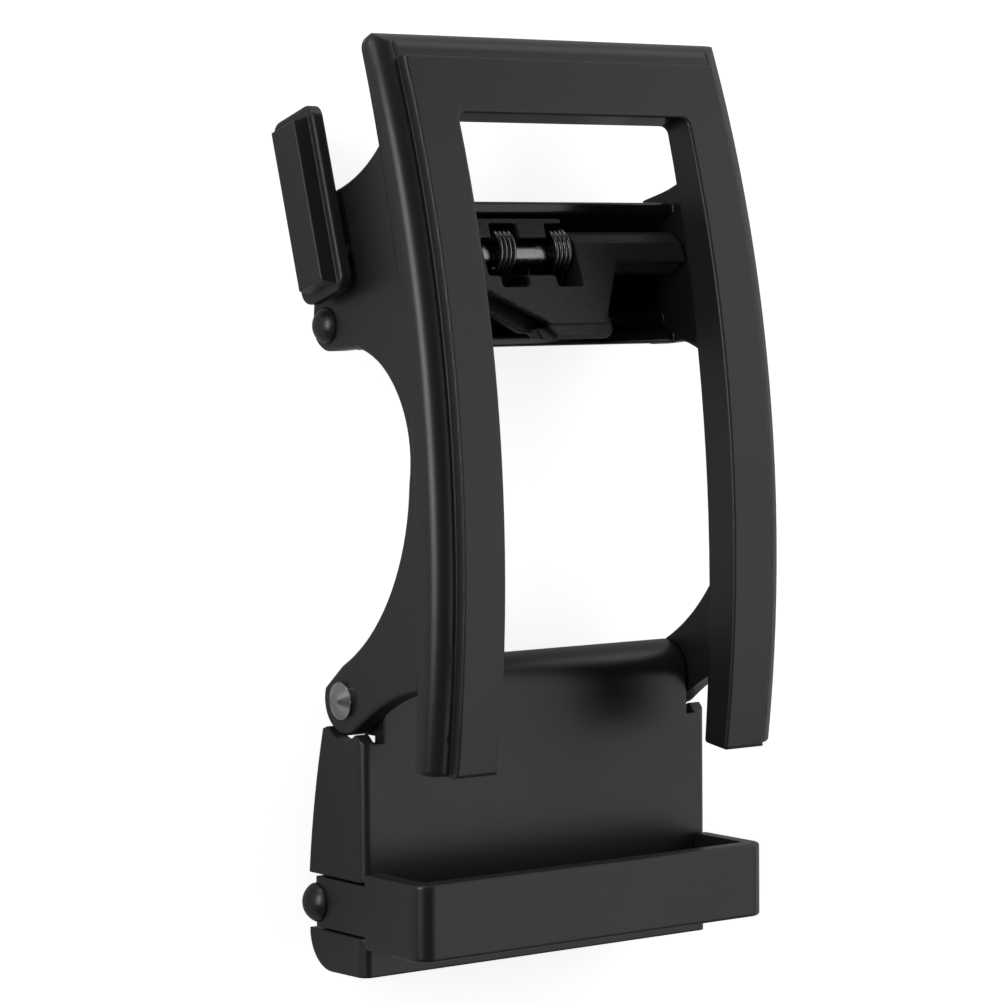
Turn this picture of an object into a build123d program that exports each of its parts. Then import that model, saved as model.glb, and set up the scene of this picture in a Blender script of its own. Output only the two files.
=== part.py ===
"""Ratchet belt buckle with an open face frame, a side release lever and a hinged strap clamp.

Sizes are in millimetres. While it is worked out, the buckle has X across the belt, Y along the
buckle towards its lever end and Z out of its face, with y = 0 under the top of the face's curve
and z = 0 at the floor that it lies on. place() then moves it so that the origin is the middle of
the base of its box.
"""
from build123d import *
import math
import os

# The face frame: a three-sided rectangle, curved along the belt and open at its lower end
FRAME_WIDTH = 40.0
FRAME_TOP_Y = 47.95
FRAME_BOTTOM_Y = -18.5
FACE_Z = 22.0
FACE_RADIUS = 126.5
REAR_RADIUS = 153.0
REAR_Y, REAR_Z = -3.0, 18.4
PANEL_INSET = 2.35
TOP_INSET = 3.1
PANEL_RISE = 1.0
PANEL_EDGE = 0.22
WINDOW_EDGE = 0.25
RAIL_END_EDGE = 0.35
SOFT_EDGE = 0.3
SHOULDER_DROP = 2.4
RAIL_PANEL_WIDTH = 4.6
TOP_PANEL_WIDTH = 5.0
OUTER_CORNER = 1.6
WINDOW_CORNER = 0.8
SHOULDER_BULGE = (0.62, 0.98)
PANEL_LEAN = 0.12

# The cheeks that carry the pins, and the trough-shaped bridge between them
CHEEK_THICKNESS = 2.0
CHEEK_INSET = 0.15
HINGE_Y, HINGE_Z = -12.64, 6.25
HINGE_EAR_RADIUS = 3.15
CROSS_Y, CROSS_Z = 21.15, 4.2
CROSS_EAR_RADIUS = 2.3
SHAFT_Y, SHAFT_Z = 27.5, 7.0
BRIDGE_Y, BRIDGE_Z = 25.65, 9.7
BRIDGE_RADIUS = 7.2
BRIDGE_WALL = 1.1
BRIDGE_LIP_Z = 7.4
RIB_WALL = 0.9

# Pins and their heads
SHAFT_RADIUS = 1.2
HINGE_PIN_RADIUS = 1.2
CROSS_PIN_RADIUS = 0.8
RIVET_RADIUS = 1.0
HEAD_OVERLAP = 0.3
RUNNING_GAP = 0.05
SEAT_GAP = 0.02
DOME_RADIUS = 1.7
DOME_HEIGHT = 1.15
RIVET_DOME_RADIUS = 1.8
CONE_RADIUS = 1.72
CONE_FLAT_RADIUS = 0.62
CONE_HEIGHT = 0.95
CONE_RIM = 0.33

# The pawl, whose lower edge bites into the strap's track
PAWL_HALF_WIDTH = 17.7
PAWL_BARREL_RADIUS = 2.05
PAWL_SLOPE = 0.40
PAWL_FACE_Z = 9.4
PAWL_PLATE = 1.2
PAWL_GROOVE = 0.7
PAWL_BACK = 1.3
ARM_TOP_Y, ARM_BOTTOM_Y = 28.7, 26.7
TAB_TOP_Y = 30.75
PAWL_EDGE_Y = 21.1
PAWL_TIP_Y = 19.45
WINDOW_X = (-5.9, 4.7)
PAWL_WINDOW_Y = (25.55, 28.95)

# The two torsion springs round the shaft
SPRING_WIRE = 0.42
SPRING_OUTER_RADIUS = 2.28
SPRING_PITCH = 0.5
SPRING_TURNS = 3.6
SPRING_STEPS = 18
SPRING_RISE = 0.25
SPRING_X = (-3.1, 3.3)

# The release lever on the shaft's left end
LEVER_GAP = 1.0
LEVER_BASE = 1.1
LEVER_PAD = 1.6
LEVER_TILT = 16.7
LEVER_MIDDLE_Y, LEVER_MIDDLE_Z = 31.95, 4.35
LEVER_LENGTH, LEVER_WIDTH = 17.2, 6.8
LEVER_CORNER = 1.3
LEVER_EDGE = 0.35
PAD_SHIFT, PAD_FORWARD = -0.25, -0.67
PAD_LENGTH, PAD_WIDTH = 15.6, 4.05
PAD_TOP_LENGTH, PAD_TOP_WIDTH = 14.8, 3.8
PAD_EDGE = 0.18

# The strap clamp: a housing with a rolled top edge, hinged on the steel pin
CLAMP_FRONT_Z = 9.45
CLAMP_WALL = 1.4
CLAMP_PLATE = 1.5
CLAMP_BOTTOM_Y = -37.5
CLAMP_REAR_Z = 0.75
CLAMP_SIDE_EDGE = 0.9
PLATE_SHOULDER_Y = -16.4
CLAMP_EAR_GAP = 0.45
ARM_NOTCH_Y = (-33.95, -28.85)
RIVET_Y, RIVET_Z = -31.54, 1.8
LUG_WALL = 1.3
LUG_Y = (-36.2, -27.0)

# The keeper loop round the strap's free end
KEEPER_TOP_Y, KEEPER_BOTTOM_Y = -28.0, -34.9
KEEPER_ARM_Y = (-33.7, -29.1)
KEEPER_FRONT_Z = 18.3
KEEPER_WALL = 1.6
KEEPER_CORNER = 1.7
KEEPER_INNER_CORNER = 0.5
ARM_ROUND_Z = 3.25

# The toothed jaw that closes the back of the clamp
JAW_HALF_WIDTH = 16.9
JAW_BARREL_RADIUS = 1.65
JAW_PLATE = 1.3
JAW_TOP_Y = -18.6
JAW_TEETH = 11
TOOTH_SHARE = 0.6
SIDE_GAP = 0.3

HALF = FRAME_WIDTH / 2
CHEEK_OUT = HALF - CHEEK_INSET
CHEEK_IN = CHEEK_OUT - CHEEK_THICKNESS
FACE_CENTRE_Z = FACE_Z - FACE_RADIUS
REAR_CENTRE_Z = REAR_Z - REAR_RADIUS


def slab(sketch, x_low, x_high):
    """A face drawn in Y and Z, made solid from x_low to x_high."""
    return extrude(Plane.YZ.offset(x_low) * sketch, amount=x_high - x_low)


def bevelled_slab(sketch, x_low, x_high):
    """A slab whose outline is eased all round on its high side."""
    eased = extrude(Plane.YZ.offset(x_high - SOFT_EDGE) * sketch, amount=SOFT_EDGE, taper=40)
    return slab(sketch, x_low, x_high - SOFT_EDGE) + eased


def rod(y, z, radius, x_low, x_high):
    """A round bar along X."""
    return slab(Pos(y, z) * Circle(radius), x_low, x_high)


def block(x, y, z):
    """A box given by its low and high corners along each axis."""
    middle = [(low + high) / 2 for low, high in (x, y, z)]
    return Pos(*middle) * Box(x[1] - x[0], y[1] - y[0], z[1] - z[0])


def outline(*edges):
    """A face inside a closed chain of lines and arcs."""
    return make_face(Curve() + list(edges))


def on_face(y, depth=0.0):
    """The point below the face's curve on the radius that meets the face at y."""
    turn = math.asin(y / FACE_RADIUS)
    radius = FACE_RADIUS - depth
    return (radius * math.sin(turn), FACE_CENTRE_Z + radius * math.cos(turn))


def on_rear(y):
    """The point of the frame's flatter rear curve on the radius that meets the face at y."""
    depth = FACE_Z - REAR_Z
    for _ in range(6):
        side, height = on_face(y, depth)
        wanted = REAR_CENTRE_Z + math.sqrt(REAR_RADIUS ** 2 - (side - REAR_Y) ** 2)
        depth += (height - wanted) * 0.95
    return on_face(y, depth)


def curved_slab(y_low, y_high, x_low, x_high, above=0.0, below=0.0):
    """The curved strip between two radii of the face, from the rear curve to the face."""
    middle = (y_low + y_high) / 2
    front = [on_face(y, -above) for y in (y_low, middle, y_high)]
    rear = [on_rear(y) for y in (y_high, middle, y_low)]
    rear = [(y, z - below) for y, z in rear]
    return slab(outline(ThreePointArc(*front), Line(front[2], rear[0]),
                        ThreePointArc(*rear), Line(rear[2], front[0])), x_low, x_high)


def shoulder_section(side, top, inset):
    """What is cut away outside the raised panel: side grows outwards and top is the face."""
    edge = side - inset
    return outline(
        Line((edge + PANEL_LEAN, top - PANEL_RISE), (edge, top - PANEL_EDGE)),
        ThreePointArc((edge, top - PANEL_EDGE), (edge - PANEL_EDGE * 0.27, top - PANEL_EDGE * 0.27),
                      (edge - PANEL_EDGE, top + 0.01)),
        Line((edge - PANEL_EDGE, top + 0.01), (edge - PANEL_EDGE, top + 3)),
        Line((edge - PANEL_EDGE, top + 3), (side + 3, top + 3)),
        Line((side + 3, top + 3), (side + 3, top - SHOULDER_DROP)),
        Line((side + 3, top - SHOULDER_DROP), (side, top - SHOULDER_DROP)),
        ThreePointArc((side, top - SHOULDER_DROP),
                      (side - SHOULDER_BULGE[0], top - SHOULDER_DROP + SHOULDER_BULGE[1]),
                      (edge + PANEL_LEAN, top - PANEL_RISE)),
    )


def panel_step():
    """The cut round the left, upper and right sides that leaves the flat panel standing."""
    top_turn = math.degrees(math.asin(FRAME_TOP_Y / FACE_RADIUS))
    bottom_turn = math.degrees(math.asin(-FRAME_BOTTOM_Y / FACE_RADIUS))
    axis = Axis((0, 0, FACE_CENTRE_Z), (1, 0, 0))
    right = Plane.XZ * shoulder_section(HALF, FACE_Z, PANEL_INSET)
    right = right.rotate(axis, -top_turn - 2)
    right = revolve(right, axis, revolution_arc=top_turn + bottom_turn + 4)
    left = right.mirror(Plane.YZ)
    end_y, end_z = on_face(FRAME_TOP_Y)
    across = Plane(origin=(-HALF - 1, end_y, end_z), x_dir=(0, math.cos(math.radians(top_turn)),
                   -math.sin(math.radians(top_turn))), z_dir=(1, 0, 0))
    top = extrude(across * shoulder_section(0, 0, TOP_INSET), amount=FRAME_WIDTH + 2)
    return left, right, top


def lies_on_face(edge):
    """True for an edge all of whose sampled points are on the face's curve."""
    return all(abs(math.hypot(p.Y, p.Z - FACE_CENTRE_Z) - FACE_RADIUS) < 0.01
               for p in (edge @ 0, edge @ 0.5, edge @ 1))


def ease_rail_ends(bars):
    """Rounds the long edges of the two rails' lower ends, up to the raised panel's step."""
    step_x = HALF - PANEL_INSET
    window_x = step_x - RAIL_PANEL_WIDTH
    for sign in (-1, 1):
        ends = [f for f in bars.faces() if f.center().Y < FRAME_BOTTOM_Y + 0.6
                and abs(f.normal_at().Y) > 0.8 and sign * f.center().X > 0]
        largest = max(ends, key=lambda f: f.area)
        rim = [e for e in largest.edges() if e.length > 0.5 and abs((e @ 0.5).X) > window_x + 0.1
               and abs(abs((e @ 0.5).X) - step_x) > 0.15]
        bars = fillet(rim, RAIL_END_EDGE)
    return bars


def face_bars():
    """The top bar and the two rails, with the raised panel and the window cut through."""
    bars = curved_slab(FRAME_BOTTOM_Y, FRAME_TOP_Y, -HALF, HALF)
    corners = [e for e in bars.edges() if abs(abs(e.center().X) - HALF) < 0.01
               and e.center().Y > FRAME_TOP_Y - 3 and e.length < 5]
    bars = fillet(corners, OUTER_CORNER)
    for cut in panel_step():
        bars -= cut
    window_top = FRAME_TOP_Y - TOP_INSET - TOP_PANEL_WIDTH
    half_window = HALF - PANEL_INSET - RAIL_PANEL_WIDTH
    window = curved_slab(FRAME_BOTTOM_Y - 4, window_top, -half_window, half_window, 2.0, 2.0)
    corners = [e for e in window.edges() if abs(abs(e.center().X) - half_window) < 0.01
               and e.center().Y > window_top - 3 and e.length < 12]
    bars -= fillet(corners, WINDOW_CORNER)
    rim = [e for e in bars.edges() if lies_on_face(e) and abs((e @ 0.5).X) < half_window + 0.1
           and FRAME_BOTTOM_Y + 1 < (e @ 0.5).Y < window_top + 0.3]
    return ease_rail_ends(fillet(rim, WINDOW_EDGE))


def on_ear(degrees):
    """A point of the hinge ear's rim, turned from the Y axis towards the face."""
    turn = math.radians(degrees)
    return (HINGE_Y + HINGE_EAR_RADIUS * math.cos(turn), HINGE_Z + HINGE_EAR_RADIUS * math.sin(turn))


def cheek_sketch():
    """One cheek seen from the side, with an ear for the cross pin and one for the hinge pin."""
    root_z = 17.5
    top = (38.6, 14.0)
    rear_top = (32.6, 2.9)
    cross_rear = (CROSS_Y + 0.2, CROSS_Z - CROSS_EAR_RADIUS)
    cross_low = (CROSS_Y - CROSS_EAR_RADIUS, CROSS_Z + 0.3)
    lobe = (19.2, 8.9)
    waist = (7.4, 16.75)
    slope = (-9.5, 5.9)
    ear_rear = on_ear(-70)
    ear_front = on_ear(-222)
    foot = (-10.9, 18.0)
    return outline(
        Line((38.6, root_z), top),
        ThreePointArc(top, (35.1, 9.95), (33.35, 5.9)),
        Line((33.35, 5.9), rear_top),
        Line(rear_top, cross_rear),
        ThreePointArc(cross_rear, (CROSS_Y - 1.55, CROSS_Z - 1.7), cross_low),
        Line(cross_low, lobe),
        ThreePointArc(lobe, (16.35, 14.1), waist),
        ThreePointArc(waist, (-2.6, 13.55), slope),
        Line(slope, ear_rear),
        ThreePointArc(ear_rear, on_ear(-146), ear_front),
        ThreePointArc(ear_front, (-12.3, 13.0), foot),
        Line(foot, (0.0, root_z + 3.0)),
        Line((0.0, root_z + 3.0), (20.0, root_z + 2.0)),
        Line((20.0, root_z + 2.0), (38.6, root_z)),
    )


def cheeks():
    """The two cheeks, kept under the frame's rear curve where they join it."""
    under = curved_slab(FRAME_BOTTOM_Y, FRAME_TOP_Y, -HALF - 1, HALF + 1, 9.0, 0.0)
    one = bevelled_slab(cheek_sketch(), CHEEK_IN, CHEEK_OUT) - under
    return one, one.mirror(Plane.YZ)


def bridge():
    """The trough between the cheeks, with a thick rib along its lower back for the cross pin."""
    reach = CHEEK_IN + 0.5
    shell = rod(BRIDGE_Y, BRIDGE_Z, BRIDGE_RADIUS, -reach, reach)
    rib = rod(CROSS_Y, CROSS_Z, CROSS_PIN_RADIUS + RIB_WALL, -reach, reach)
    shell -= rod(BRIDGE_Y, BRIDGE_Z, BRIDGE_RADIUS - BRIDGE_WALL, -reach - 1, reach + 1)
    shell -= block((-HALF, HALF), (BRIDGE_Y - 10, BRIDGE_Y + 10), (BRIDGE_LIP_Z, 30))
    lips = [e for e in shell.edges().filter_by(Axis.X) if e.center().Z > BRIDGE_LIP_Z - 1]
    shell = fillet(lips, BRIDGE_WALL * 0.3)
    return shell + rib


def face_frame():
    """The casting that carries everything: face bars, cheeks and bridge in one piece."""
    left, right = cheeks()
    body = face_bars() + left + right + bridge()
    body -= rod(CROSS_Y, CROSS_Z, CROSS_PIN_RADIUS + SEAT_GAP, -HALF - 1, HALF + 1)
    body -= rod(SHAFT_Y, SHAFT_Z, SHAFT_RADIUS + RUNNING_GAP, -HALF - 1, HALF + 1)
    body -= rod(HINGE_Y, HINGE_Z, HINGE_PIN_RADIUS + SEAT_GAP, -HALF - 1, HALF + 1)
    return body


def dome(radius, height, x, outward):
    """A low round head on the plane at x, rising outwards."""
    ball = (radius ** 2 + height ** 2) / (2 * height)
    head = Sphere(ball) - Pos(0, 0, -ball + height - ball) * Box(3 * ball, 3 * ball, 2 * ball)
    head = Pos(0, 0, height - ball) * head
    head = split(head, Plane.XY, keep=Keep.TOP)
    return Pos(x, 0, 0) * Rot(0, 90 * outward, 0) * head


def domed_pin(y, z, radius, head_radius):
    """A rod through both cheeks with a domed head outside each."""
    seat = HALF - CHEEK_INSET + SEAT_GAP
    pin = rod(0, 0, radius, -seat - HEAD_OVERLAP, seat + HEAD_OVERLAP)
    pin += dome(head_radius, DOME_HEIGHT, seat, 1)
    pin += dome(head_radius, DOME_HEIGHT, -seat, -1)
    return Pos(0, y, z) * pin


def cone_head(x, outward):
    """A round head with a wide bevel and a small flat."""
    standing = (Align.CENTER, Align.CENTER, Align.MIN)
    head = Cylinder(CONE_RADIUS, CONE_RIM, align=standing)
    bevel = Cone(CONE_RADIUS, CONE_FLAT_RADIUS, CONE_HEIGHT - CONE_RIM, align=standing)
    head += Pos(0, 0, CONE_RIM) * bevel
    return Pos(x, 0, 0) * Rot(0, 90 * outward, 0) * head


def hinge_pin():
    """The bare steel pin that the clamp swings on."""
    seat = CHEEK_OUT + SEAT_GAP
    pin = rod(0, 0, HINGE_PIN_RADIUS, -seat - HEAD_OVERLAP, seat + HEAD_OVERLAP)
    pin += cone_head(seat, 1)
    pin += cone_head(-seat, -1)
    return Pos(0, HINGE_Y, HINGE_Z) * pin


def pawl_layer(front, thickness, y_low, y_high):
    """A sloping layer of the pawl: front is how far it lies behind the pawl's face."""
    def z_at(y, depth):
        return PAWL_FACE_Z - depth + (SHAFT_Y - y) * PAWL_SLOPE
    corners = [(y_low, z_at(y_low, front)), (y_high, z_at(y_high, front)),
               (y_high, z_at(y_high, front + thickness)), (y_low, z_at(y_low, front + thickness))]
    return slab(make_face(Polyline(*corners, close=True)), -PAWL_HALF_WIDTH, PAWL_HALF_WIDTH)


def plan(*points):
    """A tall column over a polygon drawn in X and Y."""
    return extrude(Plane.XY * make_face(Polyline(*points, close=True)), amount=30)


def pawl():
    """The sprung catch: arms and a barrel on the shaft, and a tongue with a stepped tip."""
    side = PAWL_HALF_WIDTH
    edge = PAWL_EDGE_Y
    tip = PAWL_TIP_Y
    face_plan = plan((-side, ARM_BOTTOM_Y), (-11.7, ARM_BOTTOM_Y), (-0.3, edge), (6.3, edge),
                     (9.3, ARM_BOTTOM_Y), (side, ARM_BOTTOM_Y), (side, ARM_TOP_Y), (3.8, ARM_TOP_Y),
                     (3.8, TAB_TOP_Y), (-9.0, TAB_TOP_Y), (-9.0, ARM_TOP_Y), (-side, ARM_TOP_Y))
    plate = pawl_layer(0, PAWL_PLATE, 15, TAB_TOP_Y + 1) & face_plan
    back_plan = plan((-12.9, 26.4), (-2.2, edge - 0.9), (6.6, edge - 0.9), (9.0, 26.4))
    back = pawl_layer(PAWL_PLATE + PAWL_GROOVE, PAWL_BACK, 15, 26.4) & back_plan
    filler = pawl_layer(PAWL_PLATE - 0.1, PAWL_GROOVE + 0.2, 15, 26.4)
    filler &= plan((-6.0, 26.4), (0.9, edge + 0.8), (0.9, edge - 0.6), (6.2, edge - 0.6), (8.2, 26.4))
    step = pawl_layer(0.35, PAWL_PLATE + PAWL_GROOVE, 15, edge + 0.6)
    step &= plan((-0.3, edge + 0.6), (-0.3, tip + 1.2), (0.4, tip + 0.5), (6.7, tip + 0.5),
                 (7.1, tip + 0.95), (7.1, edge + 0.6))
    toe = pawl_layer(0.9, PAWL_PLATE + PAWL_GROOVE, 15, tip + 1.3)
    toe &= plan((-1.6, tip + 1.3), (-1.0, tip + 0.2), (6.6, tip + 0.2), (7.2, tip + 0.7),
                (7.2, tip + 1.3))
    barrel = rod(SHAFT_Y, SHAFT_Z, PAWL_BARREL_RADIUS, -side, side)
    body = plate + barrel + filler + back + step + toe
    body -= block(WINDOW_X, PAWL_WINDOW_Y, (0, 30))
    for middle in SPRING_X:
        body -= block((middle - 1.5, middle + 1.5), (24.5, 30.3), (0, 30))
    body -= rod(SHAFT_Y, SHAFT_Z, SHAFT_RADIUS + SEAT_GAP, -side - 1, side + 1)
    return body


def pawl_shaft():
    """The shaft through both cheeks that carries the pawl and the lever."""
    lever_face = -CHEEK_OUT - LEVER_GAP - LEVER_BASE
    return rod(SHAFT_Y, SHAFT_Z, SHAFT_RADIUS, lever_face, CHEEK_OUT)


def wire_through(points):
    """Round spring wire through the points, as short straight tubes that share their ends."""
    rings = []
    for before, point, after in zip(points[:1] + points[:-1], points, points[1:] + points[-1:]):
        way = (Vector(*after) - Vector(*before)).normalized()
        across = Vector(1, 0, 0) - way * way.X
        rings.append(Plane(origin=point, x_dir=across, z_dir=way) * Circle(SPRING_WIRE / 2))
    return loft(rings, ruled=True)


def torsion_spring(middle):
    """A coil round the shaft, a leg down to the trough's wall and one hooked behind the pawl."""
    radius = SPRING_OUTER_RADIUS - SPRING_WIRE / 2
    length = SPRING_PITCH * SPRING_TURNS
    steps = round(SPRING_TURNS * SPRING_STEPS)
    points = [(0, -4.7, 0.4 - radius), (0, -0.7, 0.06 - radius)]
    for step in range(steps + 1):
        angle = 2 * math.pi * SPRING_TURNS * step / steps
        points.append((length * step / steps, radius * math.sin(angle), -radius * math.cos(angle)))
    points += [(length, -2.75, 0.0), (length, -3.15, -0.1), (length, -5.3, 0.85)]
    return Pos(middle - length / 2, SHAFT_Y + SPRING_RISE, SHAFT_Z) * wire_through(points)


def lever_frame():
    """The plane of the release lever's outer face: x along the lever and z out of it."""
    tilt = math.radians(LEVER_TILT)
    outer = -CHEEK_OUT - LEVER_GAP - LEVER_BASE
    return Plane(origin=(outer, LEVER_MIDDLE_Y, LEVER_MIDDLE_Z),
                 x_dir=(0, math.cos(tilt), -math.sin(tilt)), z_dir=(-1, 0, 0))


def release_lever():
    """A rounded plate on the shaft's end with a raised block to push."""
    frame = lever_frame()
    base = extrude(frame * RectangleRounded(LEVER_LENGTH, LEVER_WIDTH, LEVER_CORNER), amount=-LEVER_BASE)
    rim = [e for e in base.edges() if e.center().X < frame.origin.X + 0.1]
    base = fillet(rim, LEVER_EDGE)
    pad_base = frame * Pos(PAD_SHIFT, PAD_FORWARD) * Rectangle(PAD_LENGTH, PAD_WIDTH)
    pad_top = Rectangle(PAD_TOP_LENGTH, PAD_TOP_WIDTH)
    pad_top = frame.offset(LEVER_PAD) * Pos(PAD_SHIFT, PAD_FORWARD) * pad_top
    pad = loft([pad_base, pad_top])
    rim = [e for e in pad.edges() if e.center().X < frame.origin.X - LEVER_PAD + 0.01]
    pad = fillet(rim, PAD_EDGE)
    lever = base + pad
    return lever - rod(SHAFT_Y, SHAFT_Z, SHAFT_RADIUS + SEAT_GAP, frame.origin.X - 0.01, -CHEEK_OUT)


def clamp_wall_sketch():
    """One side wall of the clamp, hollowed round the hinge ear."""
    hollow = HINGE_EAR_RADIUS + CLAMP_EAR_GAP
    rear_top = (-15.15, 3.9)
    front_turn = math.radians(144)
    front_top = (HINGE_Y + hollow * math.cos(front_turn), HINGE_Z + hollow * math.sin(front_turn))
    low = (HINGE_Y - hollow, HINGE_Z)
    return outline(
        ThreePointArc(rear_top, low, front_top),
        Line(front_top, (PLATE_SHOULDER_Y, CLAMP_FRONT_Z)),
        Line((PLATE_SHOULDER_Y, CLAMP_FRONT_Z), (CLAMP_BOTTOM_Y, CLAMP_FRONT_Z)),
        Line((CLAMP_BOTTOM_Y, CLAMP_FRONT_Z), (CLAMP_BOTTOM_Y - 0.1, 4.4)),
        ThreePointArc((CLAMP_BOTTOM_Y - 0.1, 4.4), (-36.6, CLAMP_REAR_Z + 1.0), (-34.4, CLAMP_REAR_Z)),
        Line((-34.4, CLAMP_REAR_Z), (-28.6, CLAMP_REAR_Z)),
        ThreePointArc((-28.6, CLAMP_REAR_Z), (-22.5, CLAMP_REAR_Z + 0.85), (-15.4, 3.2)),
        Line((-15.4, 3.2), rear_top),
    )


def clamp_housing():
    """The clamp's body: rolled top edge, front plate, side walls and the lugs for the rivets."""
    inner = HALF - CLAMP_WALL
    walls = slab(clamp_wall_sketch(), inner, HALF) + slab(clamp_wall_sketch(), -HALF, -inner)
    plate_z = (CLAMP_FRONT_Z - CLAMP_PLATE, CLAMP_FRONT_Z)
    plate = block((-HALF, HALF), (CLAMP_BOTTOM_Y, PLATE_SHOULDER_Y), plate_z)
    barrel_half = CHEEK_IN - SIDE_GAP
    roll_radius = CLAMP_FRONT_Z - HINGE_Z
    roll_low = HINGE_Y - roll_radius
    plate += block((-barrel_half, barrel_half), (PLATE_SHOULDER_Y - 1, HINGE_Y), plate_z)
    plate += block((-barrel_half, barrel_half), (roll_low, HINGE_Y), (HINGE_Z, CLAMP_FRONT_Z))
    plate += rod(HINGE_Y, HINGE_Z, roll_radius, -barrel_half, barrel_half)
    lug = block((inner - LUG_WALL, inner + 0.3), LUG_Y, (CLAMP_REAR_Z + 0.25, CLAMP_FRONT_Z - 0.5))
    lugs = lug + lug.mirror(Plane.YZ)
    body = walls + plate + lugs
    upright = [e for e in body.edges().filter_by(Axis.Y) if abs(abs(e.center().X) - HALF) < 0.01
               and abs(e.center().Z - CLAMP_FRONT_Z) < 0.01]
    body = fillet(upright, CLAMP_SIDE_EDGE)
    notch = block((inner, HALF + 1), ARM_NOTCH_Y, (-1, CLAMP_FRONT_Z + 1))
    body -= notch
    body -= notch.mirror(Plane.YZ)
    body -= rod(HINGE_Y, HINGE_Z, HINGE_PIN_RADIUS + RUNNING_GAP, -HALF, HALF)
    body -= rod(RIVET_Y, RIVET_Z, RIVET_RADIUS + SEAT_GAP, -HALF, HALF)
    return body


def keeper_loop():
    """The flat loop in front of the clamp, whose arms lie in the side walls' notches."""
    inner = HALF - KEEPER_WALL
    front_z = (CLAMP_FRONT_Z + SIDE_GAP - 0.1, KEEPER_FRONT_Z)
    front = block((-HALF, HALF), (KEEPER_BOTTOM_Y, KEEPER_TOP_Y), front_z)
    corners = [e for e in front.edges().filter_by(Axis.Y) if e.center().Z > KEEPER_FRONT_Z - 1]
    front = fillet(corners, KEEPER_CORNER)
    rim = [e for e in front.edges() if e.length > 3 and e.center().Z > CLAMP_FRONT_Z + 1
           and min(abs(e.center().Y - KEEPER_TOP_Y), abs(e.center().Y - KEEPER_BOTTOM_Y)) < 0.01]
    front = fillet(rim, SOFT_EDGE)
    hollow = block((-inner, inner), (KEEPER_BOTTOM_Y - 1, KEEPER_TOP_Y + 1),
                   (CLAMP_FRONT_Z - 2, KEEPER_FRONT_Z - KEEPER_WALL))
    corners = [e for e in hollow.edges().filter_by(Axis.Y) if e.center().Z > KEEPER_FRONT_Z - 3]
    front -= fillet(corners, KEEPER_INNER_CORNER)
    arm_out = HALF - SEAT_GAP
    arm_in = HALF - CLAMP_WALL + 0.1
    arm_low, arm_high = KEEPER_ARM_Y
    arm = block((arm_in, arm_out), KEEPER_ARM_Y, (RIVET_Z, CLAMP_FRONT_Z + 0.5))
    arm += rod((arm_low + arm_high) / 2, ARM_ROUND_Z, (arm_high - arm_low) / 2, arm_in, arm_out)
    arm -= rod(RIVET_Y, RIVET_Z, RIVET_RADIUS + SEAT_GAP, 0, HALF + 1)
    return front + arm + arm.mirror(Plane.YZ)


def clamp_jaw():
    """The toothed flap that bites the strap's end against the front plate."""
    half = JAW_HALF_WIDTH
    rear = RIVET_Z - 0.55
    barrel = rod(RIVET_Y, RIVET_Z, JAW_BARREL_RADIUS, -half, half)
    leaf = slab(make_face(Polyline((RIVET_Y, rear), (-27.5, rear), (JAW_TOP_Y, 3.05),
                                   (JAW_TOP_Y, 3.05 + JAW_PLATE), (-27.5, rear + JAW_PLATE),
                                   (RIVET_Y, rear + JAW_PLATE), close=True)), -half, half)
    body = barrel + leaf
    pitch = 2 * half / JAW_TEETH
    tooth_side = make_face(Polyline((RIVET_Y - 0.9, RIVET_Z + 1.2), (RIVET_Y + 1.3, RIVET_Z + 0.8),
                                    (RIVET_Y + 0.6, RIVET_Z + 3.0), close=True))
    for index in range(JAW_TEETH):
        left = -half + (index + (1 - TOOTH_SHARE) / 2) * pitch
        body += slab(tooth_side, left, left + pitch * TOOTH_SHARE)
    return body - rod(RIVET_Y, RIVET_Z, RIVET_RADIUS + RUNNING_GAP, -half - 1, half + 1)


def clamp_rivet():
    """The rod with domed heads that holds the keeper's arms and carries the jaw."""
    pin = rod(0, 0, RIVET_RADIUS, -HALF - HEAD_OVERLAP, HALF + HEAD_OVERLAP)
    pin += dome(RIVET_DOME_RADIUS, DOME_HEIGHT, HALF + SEAT_GAP, 1)
    pin += dome(RIVET_DOME_RADIUS, DOME_HEIGHT, -HALF - SEAT_GAP, -1)
    return Pos(0, RIVET_Y, RIVET_Z) * pin


def place(parts):
    """Moves the whole buckle so that the origin is the middle of the base of its box."""
    box = Compound(list(parts.values())).bounding_box()
    shift = Pos(-box.center().X, -box.center().Y, -box.min.Z)
    return {name: shift * part for name, part in parts.items()}


def main():
    parts = {
        "face_frame": face_frame(),
        "cross_pin": domed_pin(CROSS_Y, CROSS_Z, CROSS_PIN_RADIUS, DOME_RADIUS),
        "hinge_pin": hinge_pin(),
        "pawl": pawl(),
        "pawl_shaft": pawl_shaft(),
        "left_spring": torsion_spring(SPRING_X[0]),
        "right_spring": torsion_spring(SPRING_X[1]),
        "release_lever": release_lever(),
        "clamp_housing": clamp_housing(),
        "keeper_loop": keeper_loop(),
        "clamp_jaw": clamp_jaw(),
        "clamp_rivet": clamp_rivet(),
    }
    os.makedirs("parts", exist_ok=True)
    for name, part in place(parts).items():
        export_step(part, f"parts/{name}.step")
        print(name, round(part.volume, 1))


main()
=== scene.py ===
"""Finishes and studio for a ratchet belt buckle that lies on its back on a pale floor.

The buckle's pieces come from the frame, in metres, with X across the belt, Y along it towards the
release lever and Z out of the buckle's face. Each operator finishes or builds one group of pieces.
"""
import math

import bpy
from bpy.props import FloatProperty, FloatVectorProperty, IntProperty, PointerProperty
from mathutils import Matrix, Vector


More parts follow.
